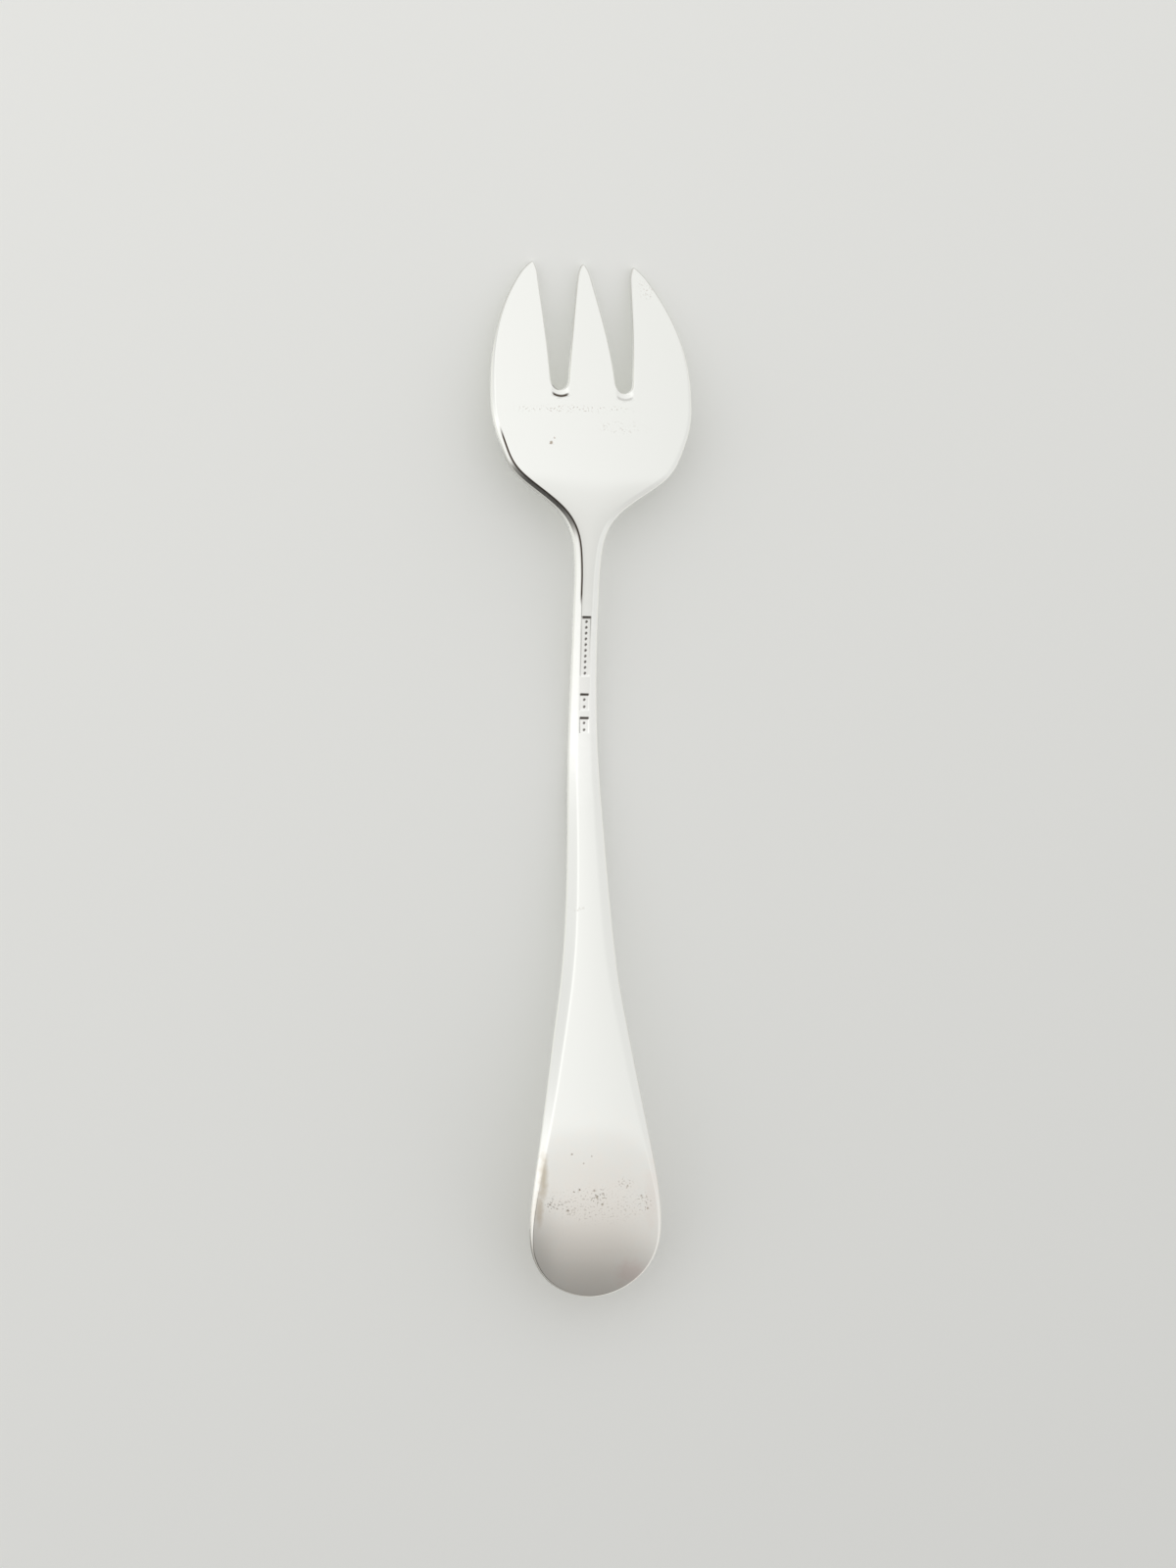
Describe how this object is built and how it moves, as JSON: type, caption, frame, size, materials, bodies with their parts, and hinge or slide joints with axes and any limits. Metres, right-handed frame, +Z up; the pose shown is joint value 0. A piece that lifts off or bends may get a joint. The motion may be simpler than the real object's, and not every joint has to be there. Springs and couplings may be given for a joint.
{
  "type": "oyster fork",
  "caption": "Small table fork for oysters and other shellfish, with a broad dished head, pointed tines, a slim stem and a rounded spatula handle. It lies face down.",
  "frame": {"origin": "on the table plane, under the middle of the fork's bounding box", "axes": "+Y along the fork towards the tines, +Z up out of the back of the fork, +X to the right seen from above with the tines away from the viewer"},
  "size_m": [0.0286, 0.1454, 0.0123],
  "materials": {
    "silver": "hand-polished silver with fine wear scratches"
  },
  "bodies": {
    "root": {"oyster_fork": "silver"}
  },
  "joints": []
}
